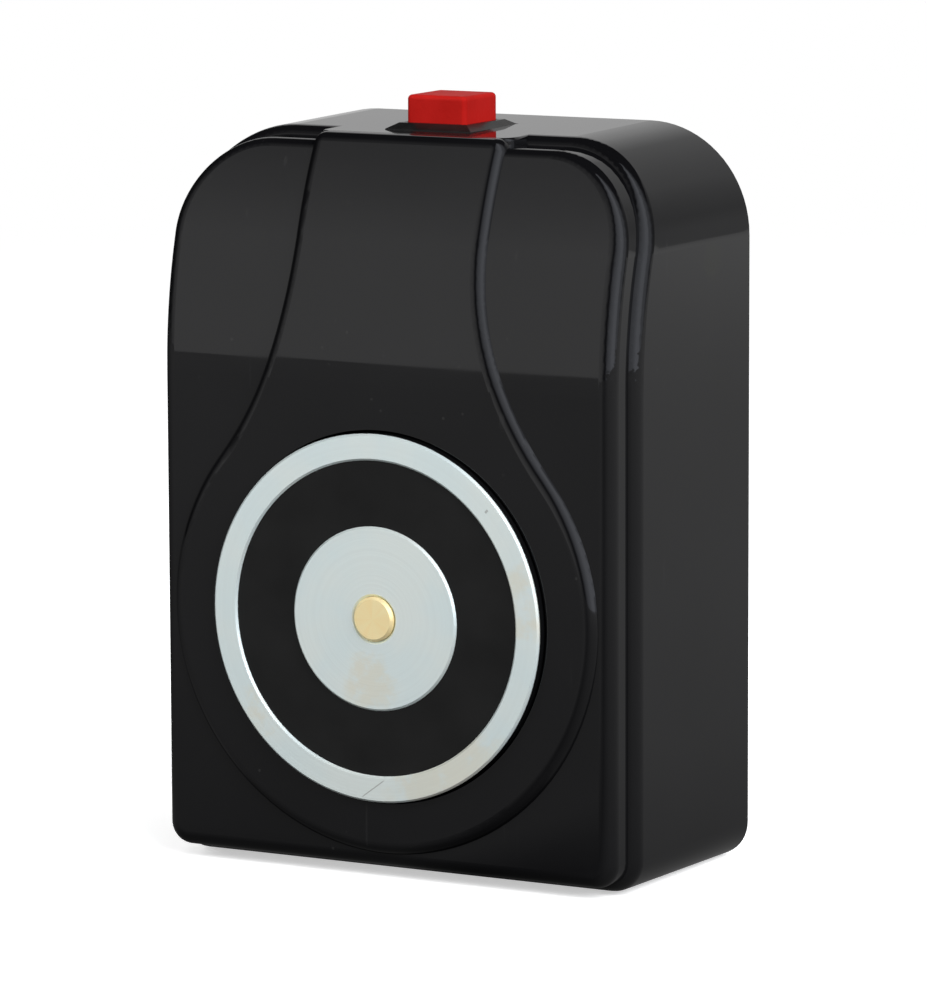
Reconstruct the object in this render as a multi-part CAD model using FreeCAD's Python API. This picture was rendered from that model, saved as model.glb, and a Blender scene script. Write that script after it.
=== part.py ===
import FreeCAD, Part
import math
import os

# Electromagnetic door holder: a moulded hood over a round holding magnet, with a push button on top.
# The origin is on the wall plane at the magnet's axis. +Z is up, and the front faces -Y.
# All sizes are in millimetres.

V = FreeCAD.Vector
X_AXIS = V(1, 0, 0)
Y_AXIS = V(0, 1, 0)
Z_AXIS = V(0, 0, 1)
FRONT = V(0, -1, 0)
PARTS = "parts"

# Case
case_width = 80.0
magnet_height = 39.9
head_height = 71.1
top_corner_r = 16.5
bottom_corner_r = 5.5
smallest_corner_r = 0.6
wall = 2.5
draft_deg = 1.0

# The rim's depth from the wall plane, and the steps forward to the lobes, the panel and the magnet
rim_depth = 35.9
lobe_step = 4.75
panel_step = 1.35
magnet_step = 1.6

# The upper front curves back towards the wall, on arcs about one centre line
bend_rise = 36.5
panel_bend_r = 75.0

# Lobes and edges
lobe_inset = 1.35
rim_edge_r = 2.5
lobe_edge_r = 2.2
panel_edge_r = 2.0
panel_top_edge_r = 2.4

# Keyhole outline of the panel: a disc, two hollow arcs and a straight neck
panel_side_margin = 4.15
panel_neck_half_width = 16.2
panel_neck_rise = 15.0

# Magnet
magnet_d = 55.0
ring_width = 3.95
core_d = 27.5
pot_floor = 7.0
cover_gap = 0.4
collar_wall = 2.0
collar_length = 14.0
resin_recess = 0.4
resin_thickness = 3.0
face_bevel = 0.3

# Ejector pin in the core's stepped bore
pin_d = 6.7
pin_fit = 0.04
pin_proud = 0.45
pin_head_length = 9.0
pin_collar_d = 9.4
pin_collar_length = 2.0
pin_tail_d = 6.4
pin_tail_length = 4.0
pin_mouth_d = 7.5
pin_bevel = 0.4
spring_bore_d = 9.8
spring_wire_d = 0.9
pin_spring_d = 8.2
pin_spring_turns = 6
plug_length = 5.0
plug_slot_width = 1.4
plug_slot_depth = 1.5

# Coil and its two leads
bobbin_wall = 0.9
bobbin_gap = 0.3
winding_margin = 1.2
lead_d = 1.7
lead_pitch = 3.0
lead_bend_r = 2.0
coil_lead_pad_rise = 4.0
bushing_d = 7.4
bushing_bore_d = 5.8
bushing_flange_d = 9.0
bushing_flange = 1.0
conductor_d = 0.8
solder_d = 2.0
solder_height = 0.7

# Back plate
plate_thickness = 2.5
plate_gap = 0.3
slot_length = 8.0
slot_width = 5.0
slot_from_side = 12.0
slot_from_end = 12.0

# Angle brackets welded to the plate's foot, and the clinch nuts on them
lug_from_side = 15.0
lug_width = 14.0
lug_thickness = 2.0
lug_length = 14.0
lug_rise = 10.0
lug_gap = 0.6
lug_bend_r = 2.4
nut_d = 6.4
nut_shank_d = 4.8
nut_height = 3.2

# Tongues pressed out at the plate's upper edge, and the lips in the cover that hook behind them
tongue_x = 13.0
tongue_width = 9.0
tongue_thickness = 1.5
tongue_length = 9.0
tongue_notch = 2.6
notch_side = 1.0
hook_gap = 0.2
lip_thickness = 1.5
lip_drop = 2.0
lip_width = 7.0

# Screws that hold the magnet, from behind through the plate and the spacer
magnet_screw_d = 4.0
magnet_screw_hole_d = 4.4
magnet_screw_head_d = 7.6
magnet_screw_angles = (30.0, 150.0, 270.0)
magnet_screw_bite = 5.5
hex_socket = 2.5
hex_socket_depth = 1.4
spacer_margin = 2.5
spacer_thickness = 5.1
spacer_slot_width = 10.0
plug_access_d = 12.0

# Cover screws, through the underside into the nuts on the lugs
cover_screw_d = 3.0
cover_screw_hole_d = 3.4
cover_screw_head_d = 5.6
cover_screw_recess = 0.3
cover_screw_length = 9.5
cover_screw_depth = 10.5
cross_width = 0.9
cross_depth = 1.0
cross_reach = 0.25

# Cable grommet in the plate
grommet_from_side = 16.0
grommet_from_top = 23.1
grommet_hole_d = 12.0
grommet_flange_d = 15.6
grommet_flange = 1.4
grommet_seat_d = 14.4
grommet_seat_depth = 1.1
grommet_nose = 4.0
grommet_nose_d = 9.0
cable_d = 6.0

# Connection board
board_x = 9.25
board_rise = 4.6
board_width = 41.5
board_size_z = 19.0
board_thickness = 1.6
board_stand_off = 6.0
board_corner_r = 1.0
board_screw_half_pitch = 17.25
board_spacer_d = 5.5
board_screw_d = 3.0
board_screw_hole_d = 3.2
board_screw_head_d = 5.5
board_screw_head_h = 2.0
board_screw_bite = 4.0

# Terminal block on the board, with its wire entries facing the cable
terminal_x = 15.0
terminal_pitch = 5.08
terminal_poles = 3
terminal_block_width = 8.2
terminal_block_depth = 10.0
cage_length = 5.0
cage_width = 3.8
cage_depth = 5.8
cage_wall = 1.2
cage_side = 0.6
cage_play = 0.1
cage_pin_d = 1.0
entry_width = 3.0
clamp_screw_head_d = 3.4
clamp_screw_head_h = 1.8
clamp_screw_d = 2.5
clamp_screw_bore_d = 3.7
clamp_screw_sink = 0.5
clamp_screw_reach = 0.8
clamp_slot_width = 0.7
clamp_slot_depth = 0.9

# Suppressor diode on the board
diode_x = 21.6
diode_d = 2.7
diode_length = 5.2
diode_span = 9.6
diode_bend_r = 1.0

# Push button in the top wall, a little in front of the middle of the rim's depth
switch_forward = 1.15
cap_size = 10.0
cap_gap = 0.15
cap_visible = 4.1
cap_length = 7.95
cap_edge_r = 0.7
flange_width = 11.4
flange_reach = 11.8
flange_bevel = 1.55
flange_thickness = 1.0
flange_land = 0.12
switch_size = 12.0
switch_gap = 0.15
switch_length = 17.5
chamber_size = 10.2
middle_floor = 1.2
button_travel = 2.5
travel_spare = 0.2
stem_d = 3.6
stem_fit = 0.05
spigot_d = 2.0
spigot_length = 1.3
bridge_length = 7.4
bridge_width = 3.0
bridge_thickness = 0.6
contact_gap = 1.2
contact_thickness = 0.8
contact_width = 2.8
contact_foot_x = 2.4
contact_strip_x = 4.6
tail_length = 4.0
base_thickness = 1.5
base_fit = 0.05
barb_width = 4.0
barb_proud = 0.9
barb_height = 3.0
barb_slot = 0.6
barb_gap = 0.15
spring_seat_d = 2.4
spring_seat_height = 0.8
switch_spring_d = 3.4
switch_spring_wire_d = 0.4
switch_spring_turns = 5
switch_lead_drop = 3.35

# Places worked out from the sizes above
z_low = -magnet_height
z_high = head_height
draft = math.tan(math.radians(draft_deg))
half_width = case_width / 2.0
lobe_depth = rim_depth + lobe_step
panel_depth = lobe_depth + panel_step
bend_z = z_high - bend_rise
bend_y = panel_bend_r - panel_depth
panel_disc_r = half_width - panel_side_margin
pot_r = magnet_d / 2.0
hole_r = pot_r + cover_gap
pot_front = -(panel_depth + magnet_step)
pot_back = -(plate_thickness + spacer_thickness)
groove_floor = pot_back - pot_floor
groove_r = pot_r - ring_width
groove_middle_r = 0.5 * (groove_r + core_d / 2.0)
resin_back = pot_front + resin_recess + resin_thickness
pin_step = pot_front + pin_head_length
pin_collar_back = pin_step + pin_collar_length
plug_front = pot_back - plug_length
coil_inner_r = core_d / 2.0 + bobbin_gap + bobbin_wall
coil_outer_r = groove_r - bobbin_gap
winding_back = groove_floor - bobbin_wall
plate_front = -plate_thickness
board_back = plate_front - board_stand_off
board_front = board_back - board_thickness
board_z = pot_r + board_rise + board_size_z / 2.0
coil_pad_z = board_z - board_size_z / 2.0 + coil_lead_pad_rise
grommet_x = grommet_from_side - half_width
grommet_z = z_high - grommet_from_top
slot_x = half_width - slot_from_side
lug_x = half_width - lug_from_side
switch_depth = 0.5 * rim_depth + switch_forward
block_front = board_front - terminal_block_depth
seat_z = z_high - draft * (switch_depth + flange_reach / 2.0 + flange_bevel)
flange_z = seat_z + flange_thickness
cap_z = flange_z + cap_visible
cap_foot = cap_z - cap_length
middle_z = cap_foot - button_travel - travel_spare
contact_top = middle_z - middle_floor - contact_gap
bridge_top = contact_top - contact_thickness
bridge_foot = bridge_top - bridge_thickness
switch_foot = seat_z - switch_length
base_top = switch_foot + base_thickness
tail_end = switch_foot - tail_length
switch_pad_z = tail_end - switch_lead_drop
screw_seat_z = z_low + draft * cover_screw_depth + cover_screw_recess
lug_foot = z_low + wall + lug_gap


def rod_y(r, y_from, y_to, x=0.0, z=0.0):
    """Round rod along Y between two depths."""
    low, high = min(y_from, y_to), max(y_from, y_to)
    return Part.makeCylinder(r, high - low, V(x, low, z), Y_AXIS)


def rod_z(r, z_from, z_to, x=0.0, y=0.0):
    """Round rod along Z between two heights."""
    low, high = min(z_from, z_to), max(z_from, z_to)
    return Part.makeCylinder(r, high - low, V(x, y, low), Z_AXIS)


def block(x0, x1, y0, y1, z0, z1):
    """Box between two corners."""
    return Part.makeBox(x1 - x0, y1 - y0, z1 - z0, V(x0, y0, z0))


def turned_y(profile):
    """Solid turned about the magnet's axis, from (radius, y) points."""
    points = [V(r, y, 0) for r, y in profile]
    points.append(points[0])
    return Part.Face(Part.makePolygon(points)).revolve(V(0, 0, 0), Y_AXIS, 360)


def turned_z(profile, x, y):
    """Solid turned about an upright axis through (x, y), from (radius, z) points."""
    points = [V(x + r, y, z) for r, z in profile]
    points.append(points[0])
    return Part.Face(Part.makePolygon(points)).revolve(V(x, y, 0), Z_AXIS, 360)


def edges_where(shape, test):
    """Edges of a shape for which the test holds."""
    return [edge for edge in shape.Edges if test(edge)]


def is_upright(edge):
    return len(edge.Vertexes) == 2 and abs(edge.tangentAt(edge.FirstParameter).z) > 0.99


def moved_copies(shape, offsets):
    """One copy of the shape at each offset, as a compound."""
    copies = []
    for offset in offsets:
        copy = shape.copy()
        copy.translate(offset)
        copies.append(copy)
    return Part.makeCompound(copies)


def case_outline(inset, y):
    """Closed wire: the case's outline, drawn in by inset, in the plane at y."""
    w = half_width - inset
    low, high = z_low + inset, z_high - inset
    top_r = top_corner_r - inset
    low_r = max(bottom_corner_r - inset, smallest_corner_r)

    def arc(cx, cz, r, start):
        angles = [math.radians(start + 45.0 * step) for step in range(3)]
        points = [V(cx + r * math.cos(a), y, cz + r * math.sin(a)) for a in angles]
        return Part.Arc(*points).toShape()

    corners = [
        arc(w - low_r, low + low_r, low_r, -90.0),
        arc(w - top_r, high - top_r, top_r, 0.0),
        arc(-w + top_r, high - top_r, top_r, 90.0),
        arc(-w + low_r, low + low_r, low_r, 180.0),
    ]
    edges = []
    for k, corner in enumerate(corners):
        following = corners[(k + 1) % len(corners)]
        edges.append(corner)
        edges.append(Part.makeLine(corner.Vertexes[-1].Point, following.Vertexes[0].Point))
    return Part.Wire(edges)


def drafted_block(inset, depth):
    """The case's outline, drawn in by inset, carried forwards with the mould's draft."""
    back = case_outline(inset, 0.0)
    front = case_outline(inset + draft * depth, -depth)
    return Part.makeLoft([back, front], True, True)


def front_y(z, depth):
    """Y of the curved front at height z, where its vertical part lies at this depth."""
    rise = max(z - bend_z, 0.0)
    r = depth + bend_y
    return bend_y - math.sqrt(r * r - rise * rise)


def behind_front(depth):
    """Everything behind the curved front at this depth from the wall plane."""
    low, high, back = z_low - wall, z_high + wall, wall
    corner_low = V(-case_width, -depth, low)
    bend = V(-case_width, -depth, bend_z)
    halfway = 0.5 * (bend_z + high)
    on_arc = V(-case_width, front_y(halfway, depth), halfway)
    corner_high = V(-case_width, front_y(high, depth), high)
    edges = [
        Part.makeLine(V(-case_width, back, low), corner_low),
        Part.makeLine(corner_low, bend),
        Part.Arc(bend, on_arc, corner_high).toShape(),
        Part.makeLine(corner_high, V(-case_width, back, high)),
        Part.makeLine(V(-case_width, back, high), V(-case_width, back, low)),
    ]
    return Part.Face(Part.Wire(edges)).extrude(X_AXIS * (2.0 * case_width))


def keyhole_prism():
    """The panel's outline carried forwards: disc, hollow arcs tangent to disc and neck, and neck."""
    y = -(rim_depth - 2.0 * wall)
    disc, neck = panel_disc_r, panel_neck_half_width
    rise = z_high - panel_neck_rise
    hollow = (neck ** 2 + rise ** 2 - disc ** 2) / (2.0 * (disc - neck))
    cx = neck + hollow
    angle = math.atan2(rise, cx)
    touch = V(disc * math.cos(angle), y, disc * math.sin(angle))
    halfway = math.pi + 0.5 * angle
    mid = V(cx + hollow * math.cos(halfway), y, rise + hollow * math.sin(halfway))
    foot = V(neck, y, rise)
    head = V(neck, y, z_high + wall)

    def mirrored(p):
        return V(-p.x, p.y, p.z)

    edges = [
        Part.Arc(mirrored(touch), V(0, y, -disc), touch).toShape(),
        Part.Arc(touch, mid, foot).toShape(),
        Part.makeLine(foot, head),
        Part.makeLine(head, mirrored(head)),
        Part.makeLine(mirrored(head), mirrored(foot)),
        Part.Arc(mirrored(foot), mirrored(mid), mirrored(touch)).toShape(),
    ]
    return Part.Face(Part.Wire(edges)).extrude(FRONT * (panel_depth + y + wall))


def front_rim_edges(shape, depth):
    """Edges round the curved front at this depth, without the line where its bend begins."""

    def on_rim(edge):
        middle = edge.valueAt(0.5 * (edge.FirstParameter + edge.LastParameter))
        points = [v.Point for v in edge.Vertexes] + [middle]
        if all(abs(p.z - bend_z) < 0.01 for p in points):
            return False
        return all(abs(p.y - front_y(p.z, depth)) < 0.02 for p in points)

    return edges_where(shape, on_rim)


def rounded_panel():
    """Raised centre panel: its top edge has a larger rounding than its sides."""
    panel = keyhole_prism().common(drafted_block(0.0, panel_depth + wall))
    panel = panel.common(behind_front(panel_depth))

    def at_top(edge):
        return all(v.Point.z > z_high - wall for v in edge.Vertexes)

    top = [e for e in front_rim_edges(panel, panel_depth) if at_top(e)]
    panel = panel.makeFillet(panel_top_edge_r, top)
    sides = [e for e in front_rim_edges(panel, panel_depth) if not at_top(e)]
    return panel.makeFillet(panel_edge_r, sides)


def cover_outside():
    """Outer form of the hood: rim, two raised lobes and the centre panel."""
    rim = drafted_block(0.0, lobe_depth).common(behind_front(rim_depth))
    rim = rim.makeFillet(rim_edge_r, front_rim_edges(rim, rim_depth))
    lobes = drafted_block(lobe_inset, panel_depth).common(behind_front(lobe_depth))
    lobes = lobes.makeFillet(lobe_edge_r, front_rim_edges(lobes, lobe_depth))
    return rim.fuse([lobes, rounded_panel()])


def cover_lips():
    """Lips inside the top wall that hook behind the plate's tongues."""
    top = z_high - wall / 2.0
    foot = z_high - wall - lip_drop
    front = plate_front + hook_gap
    back = front + lip_thickness
    lips = []
    for x in (-tongue_x, tongue_x):
        lips.append(block(x - lip_width / 2.0, x + lip_width / 2.0, front, back, foot, top))
    return lips


def screw_pocket(x):
    """Countersunk hole for a cover screw in the underside."""
    y = -cover_screw_depth
    head_r, hole_r_here = cover_screw_head_d / 2.0, cover_screw_hole_d / 2.0
    cone_z = screw_seat_z + head_r - hole_r_here
    above = z_low + 2.0 * wall
    below = z_low - wall
    return turned_z(
        [(0, below), (head_r, below), (head_r, screw_seat_z), (hole_r_here, cone_z),
         (hole_r_here, above), (0, above)], x, y)


def make_front_cover():
    """Moulded hood: hollow, with the magnet's collar, the button's opening, lips and screw holes."""
    shell = cover_outside()
    inner_rim = drafted_block(wall, lobe_depth).common(behind_front(rim_depth - wall))
    inner_lobes = drafted_block(lobe_inset + wall, lobe_depth).common(behind_front(lobe_depth - wall))
    shell = shell.cut([inner_rim, inner_lobes])
    collar_back = -(panel_depth - collar_length)
    collar = rod_y(hole_r + collar_wall, collar_back, -(lobe_depth - wall / 2.0))
    shell = shell.fuse([collar] + cover_lips())
    opening = switch_size / 2.0 + switch_gap
    seat_x = flange_width / 2.0 + flange_bevel
    seat_y = flange_reach / 2.0 + flange_bevel
    mid_y = -switch_depth
    cuts = [
        rod_y(hole_r, collar_back + 1.0, -(panel_depth + wall)),
        block(-opening, opening, mid_y - opening, mid_y + opening, z_high - 2.0 * wall, z_high + wall),
        block(-seat_x, seat_x, mid_y - seat_y, mid_y + seat_y, seat_z, z_high + wall),
        screw_pocket(-lug_x),
        screw_pocket(lug_x),
    ]
    return shell.cut(cuts).removeSplitter()


def wall_slot(x, z):
    """Slot for a wall screw, longer along X."""
    half, r = (slot_length - slot_width) / 2.0, slot_width / 2.0
    low, high = plate_front - 1.0, 1.0
    ends = [rod_y(r, low, high, x - half, z), rod_y(r, low, high, x + half, z)]
    return block(x - half, x + half, low, high, z - r, z + r).fuse(ends).removeSplitter()


def around_magnet_screws():
    """X and Z of each screw that holds the magnet."""
    angles = [math.radians(a) for a in magnet_screw_angles]
    return [(groove_middle_r * math.cos(a), groove_middle_r * math.sin(a)) for a in angles]


def countersink(x, z):
    """Countersunk hole through the plate for a screw that holds the magnet."""
    head_r, hole = magnet_screw_head_d / 2.0, magnet_screw_hole_d / 2.0
    profile = [(0, 1.0), (head_r, 1.0), (head_r, 0), (hole, hole - head_r), (hole, plate_front - 1.0),
               (0, plate_front - 1.0)]
    tool = turned_y(profile)
    tool.translate(V(x, 0, z))
    return tool


def angle_bracket(x):
    """Angle bracket on the plate's face, rounded over its bend, with a hole for its nut."""
    half = lug_width / 2.0
    front = plate_front - lug_length
    inner_y, inner_z = plate_front - lug_thickness, lug_foot + lug_thickness
    bracket = block(x - half, x + half, front, plate_front, lug_foot, inner_z)
    bracket = bracket.fuse(block(x - half, x + half, inner_y, plate_front, lug_foot, lug_foot + lug_rise))
    bracket = bracket.removeSplitter()

    def at_bend(y, z):
        def test(edge):
            return all(abs(v.Point.y - y) < 0.01 and abs(v.Point.z - z) < 0.01 for v in edge.Vertexes)
        return edges_where(bracket, test)

    bracket = bracket.makeFillet(lug_bend_r - lug_thickness, at_bend(inner_y, inner_z))
    bracket = bracket.makeFillet(lug_bend_r, at_bend(plate_front, lug_foot))
    return bracket.cut(rod_z(nut_shank_d / 2.0, lug_foot - 1.0, inner_z + 1.0, x, -cover_screw_depth))


def make_cover_brackets():
    """Two angle brackets that take the cover screws."""
    return Part.makeCompound([angle_bracket(x) for x in (-lug_x, lug_x)])


def make_base_plate():
    """Pressed steel back plate with wall slots, tongues and holes."""
    outline = Part.Face(case_outline(wall + plate_gap, 0.0))
    plate = outline.extrude(FRONT * plate_thickness)
    cuts = []
    for x in (-slot_x, slot_x):
        for z in (z_low + slot_from_end, z_high - slot_from_end):
            cuts.append(wall_slot(x, z))
    for x, z in around_magnet_screws():
        cuts.append(countersink(x, z))
    cuts.append(rod_y(grommet_hole_d / 2.0, plate_front - 1.0, 1.0, grommet_x, grommet_z))
    cuts.append(rod_y(grommet_seat_d / 2.0, -grommet_seat_depth, 1.0, grommet_x, grommet_z))
    for x in spacer_places():
        cuts.append(rod_y(board_screw_d / 2.0, plate_front - 1.0, 1.0, x, board_z))
    notch = tongue_width / 2.0 + notch_side
    half = tongue_width / 2.0
    top = z_high - wall - plate_gap - draft * (plate_thickness + tongue_thickness)
    tongues = []
    for x in (-tongue_x, tongue_x):
        cuts.append(block(x - notch, x + notch, plate_front - 1.0, 1.0, z_high - wall - tongue_notch, z_high))
        tongues.append(block(x - half, x + half, plate_front - tongue_thickness, plate_front,
                             top - tongue_length, top))
    return plate.cut(cuts).fuse(tongues).removeSplitter()


def make_clinch_nuts():
    """Round nuts pressed into the lugs."""
    r, shank, bore = nut_d / 2.0, nut_shank_d / 2.0, cover_screw_d / 2.0
    lug_top = lug_foot + lug_thickness
    high = lug_top + nut_height
    nuts = []
    for x in (-lug_x, lug_x):
        nuts.append(turned_z([(bore, lug_foot), (shank, lug_foot), (shank, lug_top), (r, lug_top),
                              (r, high - face_bevel), (r - face_bevel, high), (bore, high)],
                             x, -cover_screw_depth))
    return Part.makeCompound(nuts)


def cross_recess(x, y, z):
    """Cross-shaped driver recess, cut upwards into a screw head at height z."""
    half, long = cross_width / 2.0, cover_screw_head_d * cross_reach
    low, high = z - 1.0, z + cross_depth
    return block(x - long, x + long, y - half, y + half, low, high).fuse(
        block(x - half, x + half, y - long, y + long, low, high))


def make_cover_screws():
    """Two countersunk screws that hold the cover to the lugs."""
    y, r = -cover_screw_depth, cover_screw_d / 2.0
    head_r = cover_screw_head_d / 2.0
    tip = screw_seat_z + cover_screw_length
    screws = []
    for x in (-lug_x, lug_x):
        screw = turned_z([(0, screw_seat_z), (head_r, screw_seat_z), (r, screw_seat_z + head_r - r),
                          (r, tip - face_bevel), (r - face_bevel, tip), (0, tip)], x, y)
        screws.append(screw.cut(cross_recess(x, y, screw_seat_z)))
    return Part.makeCompound(screws)


def make_cable_grommet():
    """Rubber grommet: flange, waist, back flange in the plate's seat, and a nose, with a cable bore."""
    bore = cable_d / 2.0
    waist, flange = grommet_hole_d / 2.0, grommet_flange_d / 2.0
    seat, nose = grommet_seat_d / 2.0, grommet_nose_d / 2.0
    flange_front = plate_front - grommet_flange
    tip = flange_front - grommet_nose
    profile = [(bore, 0), (seat, 0), (seat, -grommet_seat_depth), (waist, -grommet_seat_depth),
               (waist, plate_front), (flange, plate_front), (flange, flange_front), (waist, flange_front),
               (nose, tip), (bore, tip)]
    grommet = turned_y(profile)
    grommet.translate(V(grommet_x, 0, grommet_z))
    return grommet


def make_magnet_pot():
    """Turned steel pot: outer ring, coil groove, core with a stepped bore, and holes in its back."""
    ring, core = groove_r, core_d / 2.0
    bore, spring_bore = pin_d / 2.0 + pin_fit, spring_bore_d / 2.0
    mouth = pin_mouth_d / 2.0
    b = face_bevel
    profile = [
        (pot_r - b, pot_back), (pot_r, pot_back - b), (pot_r, pot_front + b), (pot_r - b, pot_front),
        (ring + b, pot_front), (ring, pot_front + b), (ring, groove_floor), (core, groove_floor),
        (core, pot_front + b), (core - b, pot_front), (mouth, pot_front),
        (bore, pot_front + mouth - bore), (bore, pin_step), (spring_bore, pin_step), (spring_bore, pot_back),
    ]
    pot = turned_y(profile)
    cuts = [rod_y(bushing_d / 2.0, groove_floor - 1.0, pot_back + 1.0, 0, groove_middle_r)]
    for x, z in around_magnet_screws():
        cuts.append(rod_y(magnet_screw_d / 2.0, groove_floor - 1.0, pot_back + 1.0, x, z))
    return pot.cut(cuts)


def make_coil_bobbin():
    """Bobbin: a tube with two flanges, and a hole for the leads in the back one."""
    inner = core_d / 2.0 + bobbin_gap
    profile = [
        (inner, groove_floor), (coil_outer_r, groove_floor), (coil_outer_r, winding_back),
        (coil_inner_r, winding_back), (coil_inner_r, resin_back + bobbin_wall),
        (coil_outer_r, resin_back + bobbin_wall), (coil_outer_r, resin_back), (inner, resin_back),
    ]
    hole = rod_y(bushing_bore_d / 2.0, groove_floor - 2.0, groove_floor + 1.0, 0, groove_middle_r)
    return turned_y(profile).cut(hole)


def make_coil_winding():
    """Enamelled wire on the bobbin, as one body."""
    outer = coil_outer_r - winding_margin
    front = resin_back + bobbin_wall
    return turned_y([(coil_inner_r, winding_back), (outer, winding_back), (outer, front),
                     (coil_inner_r, front)])


def make_potting_ring():
    """Resin that closes the coil groove just below the magnet's face."""
    front = pot_front + resin_recess
    return turned_y([(core_d / 2.0, resin_back), (groove_r, resin_back),
                     (groove_r, front), (core_d / 2.0, front)])


def make_ejector_pin():
    """Turned pin: proud head, collar behind the core's step, and a tail that guides the spring."""
    r, collar, tail = pin_d / 2.0, pin_collar_d / 2.0, pin_tail_d / 2.0
    nose = pot_front - pin_proud
    tail_end_y = pin_collar_back + pin_tail_length
    return turned_y([
        (0, nose), (r - pin_bevel, nose), (r, nose + pin_bevel), (r, pin_step), (collar, pin_step),
        (collar, pin_collar_back), (tail, pin_collar_back), (tail, tail_end_y), (0, tail_end_y),
    ])


def coil_spring(wire_d, mean_d, length, turns):
    """Compression spring standing on the origin along +Z, with closed ends."""
    r, wire_r = mean_d / 2.0, wire_d / 2.0
    rise = length - wire_d
    helix = Part.makeHelix(rise / turns, rise, r)
    helix.translate(V(0, 0, wire_r))
    section = Part.Wire(Part.makeCircle(wire_r, V(r, 0, wire_r), Y_AXIS))
    coil = Part.Wire(helix.Edges).makePipeShell([section], True, True)
    ends = [Part.makeTorus(r, wire_r, V(0, 0, wire_r), Z_AXIS),
            Part.makeTorus(r, wire_r, V(0, 0, length - wire_r), Z_AXIS)]
    return coil.fuse(ends)


def make_ejector_spring():
    """Spring between the pin's collar and the plug."""
    spring = coil_spring(spring_wire_d, pin_spring_d, plug_front - pin_collar_back, pin_spring_turns)
    spring.rotate(V(0, 0, 0), X_AXIS, -90)
    spring.translate(V(0, pin_collar_back, 0))
    return spring


def make_ejector_plug():
    """Threaded plug behind the spring, with a driver slot."""
    plug = rod_y(spring_bore_d / 2.0, plug_front, pot_back)
    half = plug_slot_width / 2.0
    slot = block(-spring_bore_d, spring_bore_d, pot_back - plug_slot_depth, pot_back + 1.0, -half, half)
    return plug.cut(slot)


def make_magnet_spacer():
    """Disc between the plate and the magnet, with a slot that lets the leads out."""
    disc = rod_y(pot_r - spacer_margin, pot_back, plate_front)
    half = spacer_slot_width / 2.0
    low, high = pot_back - 1.0, plate_front + 1.0
    slot_floor = groove_middle_r - half
    cuts = [rod_y(plug_access_d / 2.0, low, high), block(-half, half, low, high, slot_floor, pot_r)]
    for x, z in around_magnet_screws():
        cuts.append(rod_y(magnet_screw_hole_d / 2.0, low, high, x, z))
    return disc.cut(cuts)


def make_magnet_screws():
    """Countersunk screws with a hexagon socket, from behind into the magnet's back."""
    r, head_r = magnet_screw_d / 2.0, magnet_screw_head_d / 2.0
    tip = pot_back - magnet_screw_bite
    cone_y = magnet_screw_hole_d / 2.0 - head_r
    screw = turned_y([(0, 0), (head_r, 0), (magnet_screw_hole_d / 2.0, cone_y), (r, cone_y),
                      (r, tip + face_bevel), (r - face_bevel, tip), (0, tip)])
    angles = [math.radians(60.0 * k) for k in range(7)]
    across = hex_socket / math.sqrt(3.0)
    points = [V(across * math.cos(a), 1.0, across * math.sin(a)) for a in angles]
    socket = Part.Face(Part.makePolygon(points)).extrude(FRONT * (hex_socket_depth + 1.0))
    screw = screw.cut(socket)
    return moved_copies(screw, [V(x, 0, z) for x, z in around_magnet_screws()])


def make_lead_bushing():
    """Insulating sleeve for the leads in the pot's back."""
    r, flange, bore = bushing_d / 2.0, bushing_flange_d / 2.0, bushing_bore_d / 2.0
    back = pot_back + bushing_flange
    bushing = turned_y([(bore, groove_floor), (r, groove_floor), (r, pot_back), (flange, pot_back),
                        (flange, back), (bore, back)])
    bushing.translate(V(0, 0, groove_middle_r))
    return bushing


def bent_tube(points, d, bend_r):
    """Round wire: straight runs joined by tangent arcs."""
    edges = []
    start = points[0]
    for k in range(1, len(points) - 1):
        here = points[k]
        into = here - points[k - 1]
        away = points[k + 1] - here
        half_turn = 0.5 * into.getAngle(away)
        into.normalize()
        away.normalize()
        setback = bend_r * math.tan(half_turn)
        inward = away - into
        inward.normalize()
        first = here - into * setback
        last = here + away * setback
        middle = here + inward * (bend_r / math.cos(half_turn) - bend_r)
        edges.append(Part.makeLine(start, first))
        edges.append(Part.Arc(first, middle, last).toShape())
        start = last
    edges.append(Part.makeLine(start, points[-1]))
    section = Part.Wire(Part.makeCircle(d / 2.0, points[0], points[1] - points[0]))
    return Part.Wire(edges).makePipeShell([section], True, False)


def soldered_end(x, z, towards_front):
    """Bare conductor through the board and the solder cone on its far side."""
    r, foot, tip = conductor_d / 2.0, solder_d / 2.0, conductor_d / 2.0
    if towards_front:
        far, near, direction = board_front, board_back, FRONT
    else:
        far, near, direction = board_back, board_front, Y_AXIS
    end = far + direction.y * solder_height
    conductor = rod_y(r, near, end, x, z)
    cone = Part.makeCone(foot, tip, solder_height, V(x, far, z), direction)
    return conductor.fuse(cone)


def make_coil_leads():
    """Two insulated leads from the winding, through the bushing, up to the board."""
    turn_y = 0.5 * (pot_back + plate_front)
    leads = []
    for x in (-lead_pitch / 2.0, lead_pitch / 2.0):
        points = [V(x, winding_back, groove_middle_r), V(x, turn_y, groove_middle_r),
                  V(x, turn_y, coil_pad_z), V(x, board_back, coil_pad_z)]
        lead = bent_tube(points, lead_d, lead_bend_r)
        leads.append(lead.fuse(soldered_end(x, coil_pad_z, True)))
    return Part.makeCompound(leads)


def make_switch_leads():
    """Two insulated leads from the switch's tails to the board."""
    leads = []
    for x in (-contact_strip_x, contact_strip_x):
        points = [V(x, -switch_depth, tail_end), V(x, -switch_depth, switch_pad_z),
                  V(x, board_front, switch_pad_z)]
        lead = bent_tube(points, lead_d, lead_bend_r)
        leads.append(lead.fuse(soldered_end(x, switch_pad_z, False)))
    return Part.makeCompound(leads)


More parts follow.
